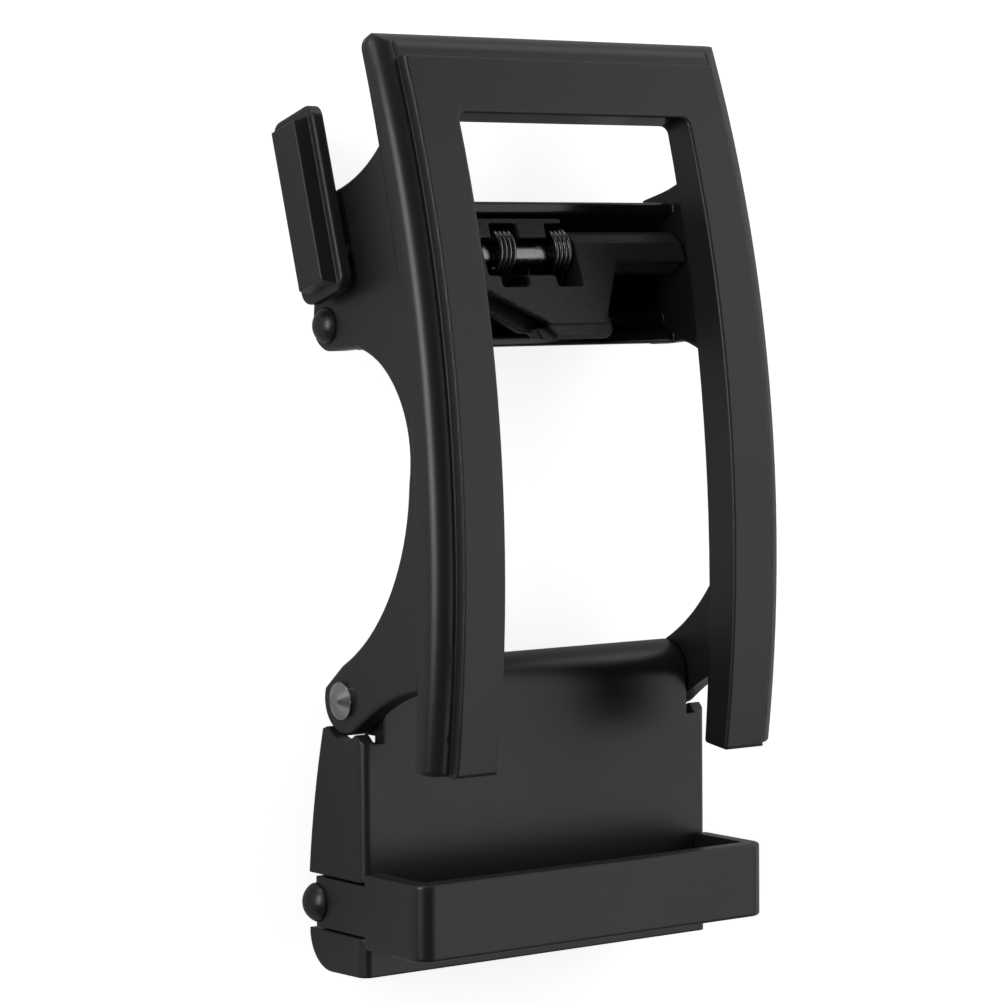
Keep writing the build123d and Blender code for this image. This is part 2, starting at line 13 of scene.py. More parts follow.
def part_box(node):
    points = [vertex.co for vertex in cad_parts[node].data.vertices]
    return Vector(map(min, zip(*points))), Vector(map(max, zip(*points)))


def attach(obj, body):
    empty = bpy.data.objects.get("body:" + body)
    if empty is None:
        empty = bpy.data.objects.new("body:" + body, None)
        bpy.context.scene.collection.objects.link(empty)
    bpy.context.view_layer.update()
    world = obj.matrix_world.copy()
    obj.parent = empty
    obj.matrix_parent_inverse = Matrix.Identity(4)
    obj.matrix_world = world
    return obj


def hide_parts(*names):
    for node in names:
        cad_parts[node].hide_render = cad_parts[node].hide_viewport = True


bl_info = {
    "name": "Ratchet belt buckle",
    "version": (1, 0, 0),
    "blender": (4, 5, 0),
    "location": "View3D > Sidebar > Buckle",
    "description": "Finishes a ratchet belt buckle's pieces and lights them in a small studio",
    "category": "Object",
}

MM = 0.001

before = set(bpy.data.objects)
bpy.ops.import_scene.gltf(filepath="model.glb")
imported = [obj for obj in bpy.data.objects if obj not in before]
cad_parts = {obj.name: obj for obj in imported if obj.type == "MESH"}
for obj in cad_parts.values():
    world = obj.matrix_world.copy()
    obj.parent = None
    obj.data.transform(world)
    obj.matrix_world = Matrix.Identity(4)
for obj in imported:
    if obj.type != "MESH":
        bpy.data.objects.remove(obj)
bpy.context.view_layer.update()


def box_middle(node):
    """The middle of a piece's box."""
    low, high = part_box(node)
    return (low + high) / 2


FRAME_AT = box_middle("face_frame")
SHAFT_AT = box_middle("pawl_shaft")
HINGE_AT = box_middle("hinge_pin")
CROSS_AT = box_middle("cross_pin")

WHITE = (1.0, 1.0, 1.0, 1.0)
DUST_COLOUR = (0.17, 0.165, 0.155, 1.0)
STAIN_COLOUR = (0.13, 0.125, 0.12, 1.0)
FLOOR_COLOUR = (0.85, 0.85, 0.85, 1.0)
SOFTBOX_COLOUR = (0.96, 0.97, 1.0)
PAINT_IOR = 1.5

# Where the trough's gloss begins and where it is full: the distance from the shaft along the belt,
# the distance from the frame's middle across it, and the height above the shaft.
GLOSS_ALONG = (10.5 * MM, 9.5 * MM)
GLOSS_ACROSS = (19.4 * MM, 19.0 * MM)
GLOSS_ABOVE = (5.5 * MM, 4.5 * MM)

# A spring's coil, and its two legs as offsets from the coil's middle along the belt and upwards.
COIL_RADIUS = 2.28 * MM
COIL_PITCH = 0.5 * MM
COIL_OFF_SHAFT = 0.25 * MM
FIRST_LEG_LENGTH = 4.7 * MM
FIRST_LEG_RISE = 0.4 * MM
LAST_LEG_BEND = (-2.95 * MM, -0.15 * MM)
LAST_LEG_END = (-5.3 * MM, 0.85 * MM)
LEG_STEPS = 8

FEWEST_SKIN_FACES = 1000

# The softboxes face this point and stand upright along one of the two directions.
AIM = Vector((0, 0, 12 * MM))
ALONG_BELT, UPWARDS = (0, 1, 0), (0, 0, 1)
SOFTBOXES = (
    # name, place, width, height, upright direction, tilt in degrees
    ("broad_light", (0.41, 0.03, 0.48), 0.40, 0.80, ALONG_BELT, -22),
    ("key_light", (-0.225, 0.05, 0.115), 0.075, 0.19, ALONG_BELT, 0),
    ("top_light", (0.10, 0.38, 0.12), 0.70, 0.20, UPWARDS, 0),
    ("dome_light", (-0.15, 0.26, 0.05), 0.10, 0.06, UPWARDS, 0),
    ("side_light", (0.36, -0.02, 0.08), 0.60, 0.14, UPWARDS, 0),
)

# The point that the camera's distance is measured from, and how far the picture's middle lies from
# it, to the left and downwards.
CAMERA_POINT = CROSS_AT + Vector((0, -9.65, 17.8)) * MM
PICTURE_LEFT = 10.732 * MM
PICTURE_DOWN = 6.342 * MM
SENSOR_WIDTH = 36.0


class PaintSettings(bpy.types.PropertyGroup):
    """The satin black paint on the castings."""
    colour: FloatVectorProperty(
        name="Colour", description="Base colour of the paint", subtype="COLOR",
        size=3, min=0.0, max=1.0, default=(0.0105, 0.0105, 0.0115))
    roughness: FloatProperty(
        name="Roughness", description="Roughness of the paint where it is satin",
        subtype="FACTOR", min=0.05, max=1.0, default=0.34)
    trough_roughness: FloatProperty(
        name="Trough roughness", description="Roughness where the paint pooled in the trough",
        subtype="FACTOR", min=0.05, max=1.0, default=0.16)
    peel_size: FloatProperty(
        name="Peel size", description="Width of one dimple of the orange peel",
        subtype="DISTANCE", unit="LENGTH", min=0.0001, max=0.005, default=0.9 * MM)
    peel_depth: FloatProperty(
        name="Peel depth", description="Depth of the orange peel",
        subtype="DISTANCE", unit="LENGTH", min=0.0, max=0.001, default=0.0016 * MM)
    edge_round: FloatProperty(
        name="Edge roundness", description="Radius that the paint gives to sharp edges",
        subtype="DISTANCE", unit="LENGTH", min=0.0, max=0.001, default=0.3 * MM)
    dust_share: FloatProperty(
        name="Dust", description="Share of the surface's cells that hold a speck of dust",
        subtype="FACTOR", min=0.0, max=1.0, default=0.10)


class CoatingSettings(bpy.types.PropertyGroup):
    """The matt black coating on the pawl and the jaw."""
    colour: FloatVectorProperty(
        name="Colour", description="Base colour of the coating", subtype="COLOR",
        size=3, min=0.0, max=1.0, default=(0.017, 0.0165, 0.016))
    roughness: FloatProperty(
        name="Roughness", description="Roughness of the coating",
        subtype="FACTOR", min=0.05, max=1.0, default=0.5)
    grain_size: FloatProperty(
        name="Grain size", description="Width of one grain of the coating",
        subtype="DISTANCE", unit="LENGTH", min=0.00005, max=0.002, default=0.26 * MM)
    grain_depth: FloatProperty(
        name="Grain depth", description="Depth of the coating's grain",
        subtype="DISTANCE", unit="LENGTH", min=0.0, max=0.0005, default=0.012 * MM)
    voxel: FloatProperty(
        name="Skin voxel", description="Voxel size of the pawl's softened skin",
        subtype="DISTANCE", unit="LENGTH", min=0.0001, max=0.001, default=0.15 * MM)
    smoothing: IntProperty(
        name="Smoothing", description="Rounds of smoothing on the pawl's skin",
        min=0, max=40, default=5)


class SteelSettings(bpy.types.PropertyGroup):
    """The bare hinge pin and the dark springs and shaft."""
    bright_colour: FloatVectorProperty(
        name="Pin colour", description="Colour of the bare turned steel", subtype="COLOR",
        size=3, min=0.0, max=1.0, default=(0.44, 0.425, 0.40))
    dark_colour: FloatVectorProperty(
        name="Spring colour", description="Colour of the oiled spring steel", subtype="COLOR",
        size=3, min=0.0, max=1.0, default=(0.17, 0.168, 0.165))
    turning_pitch: FloatProperty(
        name="Turning pitch", description="Distance between the lathe's marks",
        subtype="DISTANCE", unit="LENGTH", min=0.00001, max=0.001, default=0.11 * MM)


class SpringSettings(bpy.types.PropertyGroup):
    """The two torsion springs round the shaft."""
    wire: FloatProperty(
        name="Wire", description="Diameter of the spring wire",
        subtype="DISTANCE", unit="LENGTH", min=0.0001, max=0.002, default=0.42 * MM)
    turns: FloatProperty(
        name="Turns", description="Turns of each coil", min=1.0, max=12.0, default=3.6)
    sides: IntProperty(
        name="Wire sides", description="Sides of the wire's round section",
        min=6, max=32, default=16)
    steps: IntProperty(
        name="Steps a turn", description="Rings of the wire in one turn",
        min=12, max=96, default=48)


class StageSettings(bpy.types.PropertyGroup):
    """The floor, the lights and the camera."""
    floor_size: FloatProperty(
        name="Floor size", description="Side of the square floor",
        subtype="DISTANCE", unit="LENGTH", min=0.5, max=20.0, default=4.0)
    floor_glow: FloatProperty(
        name="Floor glow", description="Light added to the floor that the camera sees",
        min=0.0, max=3.0, default=0.75)
    sky: FloatProperty(
        name="Sky", description="Strength of the even light all round",
        min=0.0, max=5.0, default=0.06)
    broad_light: FloatProperty(
        name="Broad light", description="Radiance of the broad light at the right",
        min=0.0, max=20.0, default=1.1)
    key_light: FloatProperty(
        name="Key light", description="Radiance of the narrow light at the left",
        min=0.0, max=20.0, default=7.0)
    top_light: FloatProperty(
        name="Top light", description="Radiance of the low light beyond the lever's end",
        min=0.0, max=20.0, default=1.3)
    dome_light: FloatProperty(
        name="Dome light", description="Radiance of the small light that the round heads mirror",
        min=0.0, max=20.0, default=4.0)
    side_light: FloatProperty(
        name="Side light", description="Radiance of the low light at the right",
        min=0.0, max=20.0, default=1.0)
    table_glow: FloatProperty(
        name="Table glow", description="Light of the floor in what mirrors it",
        min=0.0, max=3.0, default=0.02)
    lens: FloatProperty(
        name="Lens", description="Focal length of the camera on a 36 mm sensor",
        subtype="DISTANCE_CAMERA", unit="CAMERA", min=10.0, max=500.0, default=131.26)
    turn: FloatProperty(
        name="Turn", description="How far the camera stands to the left of the buckle's face",
        subtype="ANGLE", unit="ROTATION", default=math.radians(36.523))
    pitch: FloatProperty(
        name="Pitch", description="How far the camera looks along the belt, away from the lever",
        subtype="ANGLE", unit="ROTATION", default=math.radians(3.562))
    roll: FloatProperty(
        name="Roll", description="Turn of the picture about the camera's line of sight",
        subtype="ANGLE", unit="ROTATION", default=math.radians(-0.452))
    distance: FloatProperty(
        name="Distance", description="Distance of the camera from the point that it is set by",
        subtype="DISTANCE", unit="LENGTH", min=0.05, max=5.0, default=328.218 * MM)


class BuckleSettings(bpy.types.PropertyGroup):
    """All the settings of the buckle."""
    paint: PointerProperty(type=PaintSettings, name="Paint", description="Satin black paint")
    coating: PointerProperty(
        type=CoatingSettings, name="Coating", description="Matt black coating")
    steel: PointerProperty(type=SteelSettings, name="Steel", description="Bare and dark steel")
    springs: PointerProperty(type=SpringSettings, name="Springs", description="Torsion springs")
    stage: PointerProperty(
        type=StageSettings, name="Stage", description="Floor, lights and camera")


class Wiring:
    """Adds nodes to a node tree and links them."""

    def __init__(self, tree):
        self.tree = tree

    def node(self, kind, **values):
        """A new node; values set its properties, or its inputs where a name isn't a property."""
        made = self.tree.nodes.new(kind)
        for name, value in values.items():
            if hasattr(made, name):
                setattr(made, name, value)
            else:
                self.feed(made, name.replace("_", " "), value)
        return made

    def feed(self, node, socket, value):
        """Sets an input to a value, or links an output to it."""
        target = node.inputs[socket]
        if isinstance(value, bpy.types.NodeSocket):
            self.tree.links.new(value, target)
        else:
            target.default_value = value

    def math(self, operation, *values, clamp=False):
        """The result of a math node."""
        made = self.node("ShaderNodeMath", operation=operation, use_clamp=clamp)
        for index, value in enumerate(values):
            self.feed(made, index, value)
        return made.outputs[0]

    def ramp(self, value, low, high, to_low=0.0, to_high=1.0, smooth=False):
        """A value mapped from one range to another."""
        made = self.node("ShaderNodeMapRange", clamp=True)
        made.interpolation_type = "SMOOTHSTEP" if smooth else "LINEAR"
        for index, given in enumerate((value, low, high, to_low, to_high)):
            self.feed(made, index, given)
        return made.outputs[0]

    def noise(self, place, size, detail=2.0, roughness=0.5):
        """Noise whose features are about size metres wide."""
        made = self.node("ShaderNodeTexNoise", Vector=place, Scale=1.0 / size, Detail=detail,
                         Roughness=roughness)
        return made.outputs["Fac"]

    def parts(self, place, centre):
        """The X, Y and Z of a point, measured from a centre."""
        offset = self.node("ShaderNodeVectorMath", operation="SUBTRACT")
        self.feed(offset, 0, place)
        self.feed(offset, 1, centre)
        return self.node("ShaderNodeSeparateXYZ", Vector=offset.outputs[0]).outputs

    def place(self):
        """The point of the surface in the piece's own frame, in metres."""
        return self.node("ShaderNodeTexCoord").outputs["Object"]

    def mix_colour(self, share, first, second):
        """A colour between two others."""
        made = self.node("ShaderNodeMix", data_type="RGBA")
        self.feed(made, "Factor", share)
        for socket, value in ((6, first), (7, second)):
            self.feed(made, socket, value)
        return made.outputs[2]


def shared_group(name, inputs, outputs, fill):
    """A node group, which fill wires up when it is first asked for. Its outputs are numbers."""
    if name not in bpy.data.node_groups:
        tree = bpy.data.node_groups.new(name, "ShaderNodeTree")
        for label in inputs:
            kind = "NodeSocketVector" if label in ("Place", "Centre") else "NodeSocketFloat"
            tree.interface.new_socket(label, in_out="INPUT", socket_type=kind)
        for label in outputs:
            tree.interface.new_socket(label, in_out="OUTPUT", socket_type="NodeSocketFloat")
        wires = Wiring(tree)
        fill(wires, wires.node("NodeGroupInput").outputs, wires.node("NodeGroupOutput"))
    return bpy.data.node_groups[name]


def orange_peel_group():
    """Soft dimples of sprayed paint: their height in metres, and a sheen from -1 to 1."""
    def fill(wires, given, out):
        place = given["Place"]
        scale = wires.math("DIVIDE", 1.0, given["Size"])
        dimples = wires.node("ShaderNodeTexNoise", Vector=place, Scale=scale, Detail=1.0,
                             Roughness=0.4)
        fine = wires.node("ShaderNodeTexNoise", Vector=place, Detail=2.0, Roughness=0.6,
                          Scale=wires.math("MULTIPLY", scale, 6.0))
        faint = wires.math("MULTIPLY", fine.outputs["Fac"], 0.25)
        height = wires.math("ADD", dimples.outputs["Fac"], faint)
        wires.feed(out, "Height", wires.math("MULTIPLY", height, given["Depth"]))
        wires.feed(out, "Sheen", wires.ramp(fine.outputs["Fac"], 0.3, 0.7, -1.0, 1.0))
    return shared_group("Orange peel", ("Place", "Size", "Depth"), ("Height", "Sheen"), fill)


def dust_group():
    """Small round specks scattered over the surface, as a mask."""
    def fill(wires, given, out):
        cells = wires.node("ShaderNodeTexVoronoi", voronoi_dimensions="3D", feature="F1",
                           Vector=given["Place"], Scale=wires.math("DIVIDE", 1.0, given["Cell"]))
        picked = wires.node("ShaderNodeSeparateColor")
        wires.feed(picked, 0, cells.outputs["Color"])
        chosen = wires.math("LESS_THAN", picked.outputs[0], given["Share"])
        width = wires.ramp(picked.outputs[1], 0.0, 1.0, 0.012, 0.035)
        spot = wires.math("LESS_THAN", cells.outputs["Distance"], width)
        wires.feed(out, "Mask", wires.math("MULTIPLY", chosen, spot))
    return shared_group("Dust specks", ("Place", "Cell", "Share"), ("Mask",), fill)


def cast_grain_group():
    """Fine sandy grain: its height in metres, and a shade from 0 to 1."""
    def fill(wires, given, out):
        place = given["Place"]
        scale = wires.math("DIVIDE", 1.0, given["Size"])
        grain = wires.node("ShaderNodeTexNoise", Vector=place, Scale=scale, Detail=4.0,
                           Roughness=0.7)
        pits = wires.node("ShaderNodeTexVoronoi", voronoi_dimensions="3D", feature="F1",
                          Vector=place, Scale=wires.math("MULTIPLY", scale, 0.8))
        level = wires.math("ADD", grain.outputs["Fac"],
                           wires.math("MULTIPLY", pits.outputs["Distance"], 0.5))
        wires.feed(out, "Height", wires.math("MULTIPLY", level, given["Depth"]))
        wires.feed(out, "Shade", wires.ramp(grain.outputs["Fac"], 0.3, 0.72))
    return shared_group("Cast grain", ("Place", "Size", "Depth"), ("Height", "Shade"), fill)


def turned_marks_group():
    """A lathe's rings round an axis along X: their height in metres, and a shade from 0 to 1."""
    def fill(wires, given, out):
        parts = wires.parts(given["Place"], given["Centre"])
        across = wires.math("POWER", parts[1], 2.0)
        up = wires.math("POWER", parts[2], 2.0)
        radius = wires.math("SQRT", wires.math("ADD", across, up))
        rings = wires.node("ShaderNodeTexNoise", noise_dimensions="1D", Scale=1.0, Detail=3.0,
                           Roughness=0.6, W=wires.math("DIVIDE", radius, given["Pitch"]))
        wires.feed(out, "Height", wires.math("MULTIPLY", rings.outputs["Fac"], given["Depth"]))
        wires.feed(out, "Shade", wires.ramp(rings.outputs["Fac"], 0.3, 0.7))
    return shared_group("Turned marks", ("Place", "Centre", "Pitch", "Depth"),
                        ("Height", "Shade"), fill)


def use_group(wires, tree, **values):
    """The outputs of a node that holds a group, with its inputs set."""
    made = wires.node("ShaderNodeGroup", node_tree=tree)
    for name, value in values.items():
        wires.feed(made, name, value)
    return made.outputs


def shade_of(colour, times=1.0):
    """A colour made lighter or darker, with its alpha."""
    return (*(times * part for part in colour), 1.0)


def new_material(name):
    """An empty material, its wiring and its Principled shader, linked to the output."""
    material = bpy.data.materials.new(name)
    material.use_nodes = True
    material.node_tree.nodes.clear()
    wires = Wiring(material.node_tree)
    shader = wires.node("ShaderNodeBsdfPrincipled")
    wires.node("ShaderNodeOutputMaterial", Surface=shader.outputs[0])
    return material, wires, shader


def bump(wires, height, normal):
    """A normal, tilted by a height in metres."""
    made = wires.node("ShaderNodeBump", Strength=1.0, Distance=1.0, Height=height)
    if normal is not None:
        wires.feed(made, "Normal", normal)
    return made.outputs[0]


def rounded_edges(wires, radius):
    """The surface's normal with its sharp edges rounded."""
    return wires.node("ShaderNodeBevel", samples=6, Radius=radius).outputs[0]


def satin_paint(name, settings, trough=False):
    """Satin black paint with a faint orange peel and dust; in the trough it is glossier."""
    material, wires, shader = new_material(name)
    place = wires.place()
    peel = use_group(wires, orange_peel_group(), Place=place, Size=settings.peel_size,
                     Depth=settings.peel_depth)
    dust = use_group(wires, dust_group(), Place=place, Cell=1.5 * MM, Share=settings.dust_share)
    cloud = wires.noise(place, 9 * MM, detail=3.0)
    uneven = 0.015
    roughness = wires.ramp(cloud, 0.3, 0.7, settings.roughness - uneven,
                           settings.roughness + uneven)
    if trough:
        roughness = trough_gloss(wires, place, roughness, settings.trough_roughness)
    roughness = wires.math("ADD", roughness, wires.math("MULTIPLY", peel["Sheen"], 0.012))
    roughness = wires.math("ADD", roughness, wires.math("MULTIPLY", dust["Mask"], 0.4))
    wires.feed(shader, "Roughness", roughness)
    shade = wires.mix_colour(wires.noise(place, 14 * MM, detail=4.0), shade_of(settings.colour),
                             shade_of(settings.colour, 1.25))
    wires.feed(shader, "Base Color", wires.mix_colour(dust["Mask"], shade, DUST_COLOUR))
    wires.feed(shader, "IOR", PAINT_IOR)
    normal = rounded_edges(wires, settings.edge_round)
    wires.feed(shader, "Normal", bump(wires, peel["Height"], normal))
    return material


def trough_gloss(wires, place, satin, gloss):
    """The paint's roughness, lower inside the trough round the pawl's shaft."""
    parts = wires.parts(place, tuple(SHAFT_AT))
    along = wires.ramp(wires.math("ABSOLUTE", parts[1]), *GLOSS_ALONG, smooth=True)
    off_middle = wires.math("SUBTRACT", parts[0], FRAME_AT.x - SHAFT_AT.x)
    across = wires.ramp(wires.math("ABSOLUTE", off_middle), *GLOSS_ACROSS)
    low = wires.ramp(parts[2], *GLOSS_ABOVE)
    share = wires.math("MULTIPLY", wires.math("MULTIPLY", along, across), low)
    return wires.math("ADD", satin, wires.math("MULTIPLY", share,
                                               wires.math("SUBTRACT", gloss, satin)))


def matt_coating(name, settings):
    """A matt black coating with a fine sandy grain."""
    material, wires, shader = new_material(name)
    place = wires.place()
    grain = use_group(wires, cast_grain_group(), Place=place, Size=settings.grain_size,
                      Depth=settings.grain_depth)
    wires.feed(shader, "Base Color", wires.mix_colour(
        grain["Shade"], shade_of(settings.colour), shade_of(settings.colour, 2.2)))
    uneven = 0.08
    wires.feed(shader, "Roughness", wires.ramp(
        grain["Shade"], 0.0, 1.0, settings.roughness + uneven, settings.roughness - uneven))
    wires.feed(shader, "IOR", PAINT_IOR)
    normal = rounded_edges(wires, 0.1 * MM)
    wires.feed(shader, "Normal", bump(wires, grain["Height"], normal))
    return material


def turned_steel(name, settings):
    """Bare steel with the rings that turning leaves on its bevelled heads."""
    material, wires, shader = new_material(name)
    place = wires.place()
    rings = use_group(wires, turned_marks_group(), Place=place, Centre=tuple(HINGE_AT),
                      Pitch=settings.turning_pitch, Depth=0.0012 * MM)
    stain = wires.ramp(wires.noise(place, 0.7 * MM, detail=5.0, roughness=0.6),
                       0.55, 0.75, 0.0, 0.5)
    shade = wires.mix_colour(rings["Shade"], shade_of(settings.bright_colour, 0.8),
                             shade_of(settings.bright_colour))
    wires.feed(shader, "Base Color", wires.mix_colour(stain, shade, STAIN_COLOUR))
    wires.feed(shader, "Metallic", 1.0)
    wires.feed(shader, "Roughness", wires.ramp(rings["Shade"], 0.0, 1.0, 0.22, 0.13))
    wires.feed(shader, "Normal", bump(wires, rings["Height"], rounded_edges(wires, 0.05 * MM)))
    return material


def dark_steel(name, settings):
    """Oiled dark spring steel with a faint grain."""
    material, wires, shader = new_material(name)
    place = wires.place()
    grain = use_group(wires, cast_grain_group(), Place=place, Size=0.5 * MM, Depth=0.001 * MM)
    wires.feed(shader, "Base Color", wires.mix_colour(
        grain["Shade"], shade_of(settings.dark_colour), shade_of(settings.dark_colour, 1.9)))
    wires.feed(shader, "Metallic", 1.0)
    wires.feed(shader, "Roughness", wires.ramp(grain["Shade"], 0.0, 1.0, 0.2, 0.3))
    wires.feed(shader, "Normal", bump(wires, grain["Height"], None))
    return material


def give_finish(material, *names):
    """Puts a material on pieces of the frame."""
    for name in names:
        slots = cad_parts[name].data.materials
        slots.clear()
        slots.append(material)


def spring_path(low_x, high_x, settings):
    """Points along a torsion spring's wire, between two planes across the shaft."""
    radius = COIL_RADIUS - settings.wire / 2
    length = COIL_PITCH * settings.turns
    start = Vector(((low_x + high_x) / 2 - length / 2, SHAFT_AT.y + COIL_OFF_SHAFT, SHAFT_AT.z))
    points = []
    for step in range(LEG_STEPS + 1):
        left = 1 - step / LEG_STEPS
        points.append((0.0, -FIRST_LEG_LENGTH * left, -radius + FIRST_LEG_RISE * left ** 1.5))
    steps = round(settings.turns * settings.steps)
    for step in range(1, steps + 1):
        angle = 2 * math.pi * settings.turns * step / steps
        points.append((length * step / steps, radius * math.sin(angle), -radius * math.cos(angle)))
    last = Vector(points[-1])
    bend = Vector((length, *LAST_LEG_BEND))
    end = Vector((length, *LAST_LEG_END))
    for step in range(1, LEG_STEPS + 1):
        share = step / LEG_STEPS
        points.append(last.lerp(bend, share).lerp(bend.lerp(end, share), share))
    return [start + Vector(point) for point in points]


def tube(name, path, radius, sides):
    """A closed mesh tube that follows a path of points."""
    vertices = []
    faces = []
    side_way = Vector((1, 0, 0))
    for index, point in enumerate(path):
        before = path[max(index - 1, 0)]
        after = path[min(index + 1, len(path) - 1)]
        way = (after - before).normalized()
        side_way = (side_way - way * side_way.dot(way)).normalized()
        up = way.cross(side_way)
        for side in range(sides):
            turn = 2 * math.pi * side / sides
            vertices.append(point + radius * (math.cos(turn) * side_way + math.sin(turn) * up))
    for ring in range(len(path) - 1):
        here = ring * sides
        beyond = here + sides
        for side in range(sides):
            following = (side + 1) % sides
            faces.append((here + side, here + following, beyond + following, beyond + side))
    faces.append(tuple(reversed(range(sides))))
    faces.append(tuple(range((len(path) - 1) * sides, len(path) * sides)))
    mesh = bpy.data.meshes.new(name)
    mesh.from_pydata(vertices, [], faces)
    mesh.validate()
    for polygon in mesh.polygons:
        polygon.use_smooth = True
    made = bpy.data.objects.new(name, mesh)
    bpy.context.scene.collection.objects.link(made)
    return made


def softened_copy(name, node, voxel, rounds):
    """A skin over a piece of the frame, with its edges and corners worn soft."""
    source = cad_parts[node]
    made = bpy.data.objects.new(name, source.data.copy())
    bpy.context.scene.collection.objects.link(made)
    remesh = made.modifiers.new("skin", "REMESH")
    remesh.mode = "VOXEL"
    remesh.voxel_size = voxel
    remesh.use_smooth_shade = True
    soft = made.modifiers.new("soften", "SMOOTH")
    soft.factor = 0.5
    soft.iterations = rounds
    bpy.context.view_layer.update()
    graph = bpy.context.evaluated_depsgraph_get()
    skin = bpy.data.meshes.new_from_object(made.evaluated_get(graph))
    made.modifiers.clear()
    made.data = skin
    if len(skin.polygons) < FEWEST_SKIN_FACES:
        raise RuntimeError(f"the skin over {node} came out with {len(skin.polygons)} faces")
    return made


class BUCKLE_OT_frame(bpy.types.Operator):
    """Paints the face frame and the pin across it"""
    bl_idname = "buckle.frame"
    bl_label = "Face frame"

    def execute(self, context):
        settings = context.scene.buckle.paint
        give_finish(satin_paint("frame_paint", settings, trough=True), "face_frame")
        give_finish(satin_paint("pin_paint", settings), "cross_pin")
        return {"FINISHED"}


class BUCKLE_OT_lever(bpy.types.Operator):
    """Paints the release lever"""
    bl_idname = "buckle.lever"
    bl_label = "Release lever"

    def execute(self, context):
        give_finish(satin_paint("lever_paint", context.scene.buckle.paint), "release_lever")
        return {"FINISHED"}


class BUCKLE_OT_clamp(bpy.types.Operator):
    """Finishes the strap clamp, its keeper loop, its rivet and its jaw"""
    bl_idname = "buckle.clamp"
    bl_label = "Strap clamp"

    def execute(self, context):
        settings = context.scene.buckle
        give_finish(satin_paint("clamp_paint", settings.paint), "clamp_housing", "clamp_rivet")
        give_finish(satin_paint("keeper_paint", settings.paint), "keeper_loop")
        give_finish(matt_coating("jaw_coating", settings.coating), "clamp_jaw")
        return {"FINISHED"}


class BUCKLE_OT_steel(bpy.types.Operator):
    """Finishes the bare hinge pin and the dark shaft"""
    bl_idname = "buckle.steel"
    bl_label = "Steel pins"

    def execute(self, context):
        settings = context.scene.buckle.steel
        give_finish(turned_steel("turned_steel", settings), "hinge_pin")
        give_finish(dark_steel("shaft_steel", settings), "pawl_shaft")
        return {"FINISHED"}


class BUCKLE_OT_pawl(bpy.types.Operator):
    """Builds the pawl's cast skin with its softened edges"""
    bl_idname = "buckle.pawl"
    bl_label = "Pawl"

    def execute(self, context):
        settings = context.scene.buckle.coating
        skin = softened_copy("pawl_casting", "pawl", settings.voxel, settings.smoothing)
        skin.data.materials.clear()
        skin.data.materials.append(matt_coating("pawl_coating", settings))
        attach(skin, "release")
        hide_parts("pawl")
        return {"FINISHED"}


class BUCKLE_OT_springs(bpy.types.Operator):
    """Winds the two torsion springs round the shaft"""
    bl_idname = "buckle.springs"
    bl_label = "Torsion springs"

    def execute(self, context):
        settings = context.scene.buckle.springs
        wire_finish = dark_steel("spring_steel", context.scene.buckle.steel)
        for node in ("left_spring", "right_spring"):
            low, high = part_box(node)
            path = spring_path(low.x, high.x, settings)
            wire = tube(node + "_wire", path, settings.wire / 2, settings.sides)
            wire.data.materials.append(wire_finish)
            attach(wire, "release")
            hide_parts(node)
        return {"FINISHED"}


def softbox(name, place, width, height, upright, tilt, radiance):
    """A rectangular area light that faces the buckle from a place given in metres.

    Its height lies along the upright direction, before it is tilted about its middle.
    """
    data = bpy.data.lights.new(name, "AREA")
    data.shape = "RECTANGLE"
    data.size = width
    data.size_y = height
    data.energy = radiance * math.pi * width * height
    data.color = SOFTBOX_COLOUR
    made = bpy.data.objects.new(name, data)
    towards = (Vector(place) - AIM).normalized()
    across = Vector(upright).cross(towards).normalized()
    axes = Matrix((across, towards.cross(across), towards)).transposed().to_4x4()
    turned = Matrix.Rotation(math.radians(tilt), 4, "Z")
    made.matrix_world = Matrix.Translation(Vector(place)) @ axes @ turned
    bpy.context.scene.collection.objects.link(made)


def studio_lights(settings):
    """Five softboxes: one over the face, one at the left edge and three low ones round it."""
    for name, *shape in SOFTBOXES:
        softbox(name, *shape, radiance=getattr(settings, name))


def pale_floor(settings):
    """A plain matt floor, a little brighter to the camera than to what mirrors it."""
    half = settings.floor_size / 2
    mesh = bpy.data.meshes.new("floor")
    corners = [(-half, -half, 0), (half, -half, 0), (half, half, 0), (-half, half, 0)]
    mesh.from_pydata(corners, [], [(0, 1, 2, 3)])
    floor = bpy.data.objects.new("floor", mesh)
    bpy.context.scene.collection.objects.link(floor)
    material, wires, shader = new_material("pale_floor")
    wires.feed(shader, "Base Color", FLOOR_COLOUR)
    wires.feed(shader, "Roughness", 1.0)
    wires.feed(shader, "Specular IOR Level", 0.0)
    wires.feed(shader, "Emission Color", WHITE)
    seen = wires.node("ShaderNodeLightPath").outputs["Is Camera Ray"]
    glow = wires.ramp(seen, 0.0, 1.0, settings.table_glow, settings.floor_glow)
    wires.feed(shader, "Emission Strength", glow)
    mesh.materials.append(material)


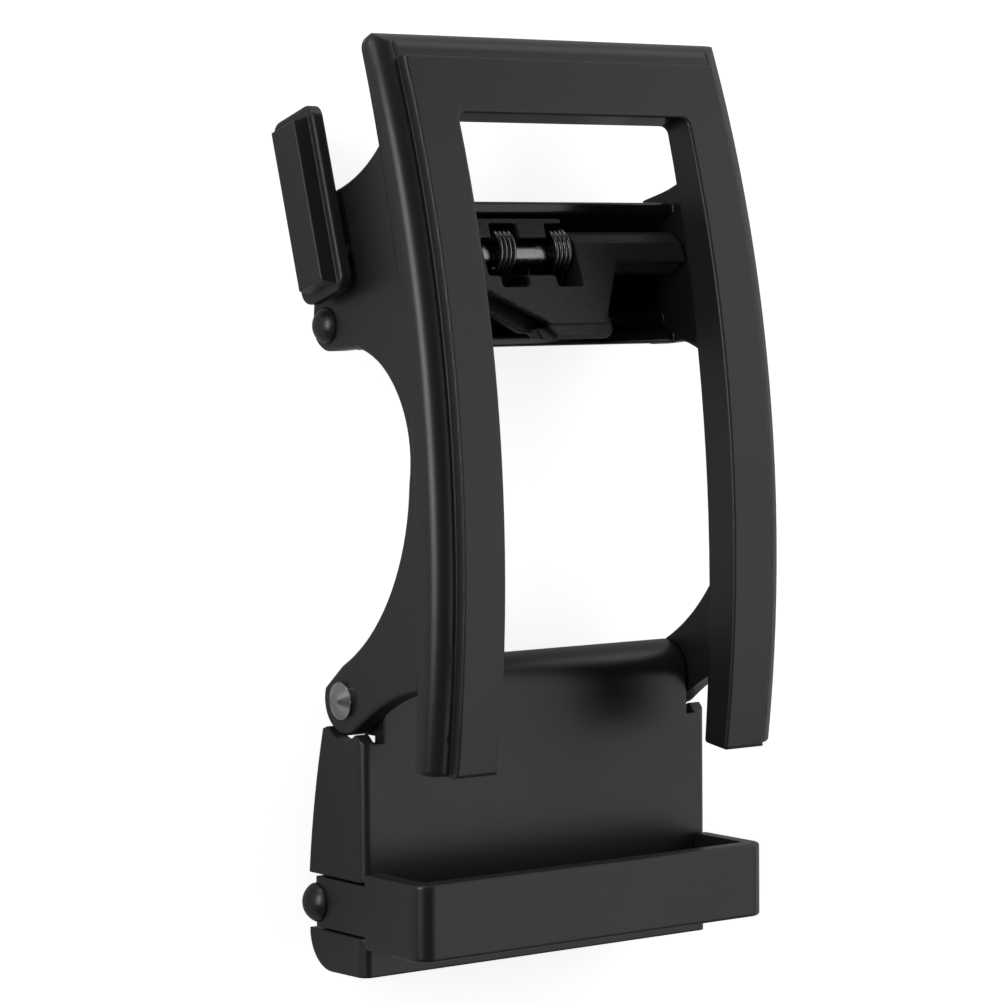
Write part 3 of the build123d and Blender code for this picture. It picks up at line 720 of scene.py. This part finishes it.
def photo_camera(settings):
    """The camera, set by its angles to the buckle as in the photograph."""
    turn, pitch = settings.turn, settings.pitch
    level = math.cos(pitch)
    forward = Vector((math.sin(turn) * level, -math.sin(pitch), -math.cos(turn) * level))
    right = Vector((math.cos(turn), 0, math.sin(turn)))
    up = right.cross(forward)
    rolled_right = right * math.cos(settings.roll) + up * math.sin(settings.roll)
    rolled_up = up * math.cos(settings.roll) - right * math.sin(settings.roll)
    aside = rolled_right * PICTURE_LEFT + rolled_up * PICTURE_DOWN
    spot = CAMERA_POINT - forward * settings.distance - aside
    data = bpy.data.cameras.new("camera")
    data.sensor_width = SENSOR_WIDTH
    data.lens = settings.lens
    data.clip_start = 0.01
    data.clip_end = 20.0
    camera = bpy.data.objects.new("camera", data)
    axes = Matrix((rolled_right, rolled_up, -forward)).transposed()
    camera.matrix_world = Matrix.Translation(spot) @ axes.to_4x4()
    bpy.context.scene.collection.objects.link(camera)
    bpy.context.scene.camera = camera


class BUCKLE_OT_stage(bpy.types.Operator):
    """Makes the floor, the lights and the camera"""
    bl_idname = "buckle.stage"
    bl_label = "Stage"

    def execute(self, context):
        settings = context.scene.buckle.stage
        pale_floor(settings)
        studio_lights(settings)
        photo_camera(settings)
        world = bpy.data.worlds.new("studio")
        world.use_nodes = True
        background = world.node_tree.nodes["Background"].inputs
        background["Strength"].default_value = settings.sky
        background["Color"].default_value = WHITE
        context.scene.world = world
        context.scene.view_settings.view_transform = "Standard"
        return {"FINISHED"}


class BUCKLE_PT_panel(bpy.types.Panel):
    """Lists the buckle's operators and settings"""
    bl_idname = "BUCKLE_PT_panel"
    bl_label = "Ratchet belt buckle"
    bl_space_type = "VIEW_3D"
    bl_region_type = "UI"
    bl_category = "Buckle"

    def draw(self, context):
        settings = context.scene.buckle
        for operator in OPERATORS:
            self.layout.operator(operator.bl_idname)
        for group in (settings.paint, settings.coating, settings.steel, settings.springs,
                      settings.stage):
            part = self.layout.box()
            for name in group.bl_rna.properties.keys():
                if name not in ("rna_type", "name"):
                    part.prop(group, name)


OPERATORS = (BUCKLE_OT_frame, BUCKLE_OT_lever, BUCKLE_OT_clamp, BUCKLE_OT_steel, BUCKLE_OT_pawl,
             BUCKLE_OT_springs, BUCKLE_OT_stage)
CLASSES = (PaintSettings, CoatingSettings, SteelSettings, SpringSettings, StageSettings,
           BuckleSettings, *OPERATORS, BUCKLE_PT_panel)


def register():
    """Adds the settings, the operators and the panel to Blender."""
    for kind in CLASSES:
        bpy.utils.register_class(kind)
    bpy.types.Scene.buckle = PointerProperty(type=BuckleSettings)


def unregister():
    """Takes away what register added."""
    del bpy.types.Scene.buckle
    for kind in reversed(CLASSES):
        bpy.utils.unregister_class(kind)


def main():
    """Builds everything."""
    register()
    bpy.ops.buckle.frame()
    bpy.ops.buckle.lever()
    bpy.ops.buckle.clamp()
    bpy.ops.buckle.steel()
    bpy.ops.buckle.pawl()
    bpy.ops.buckle.springs()
    bpy.ops.buckle.stage()


if __name__ == "__main__":
    main()
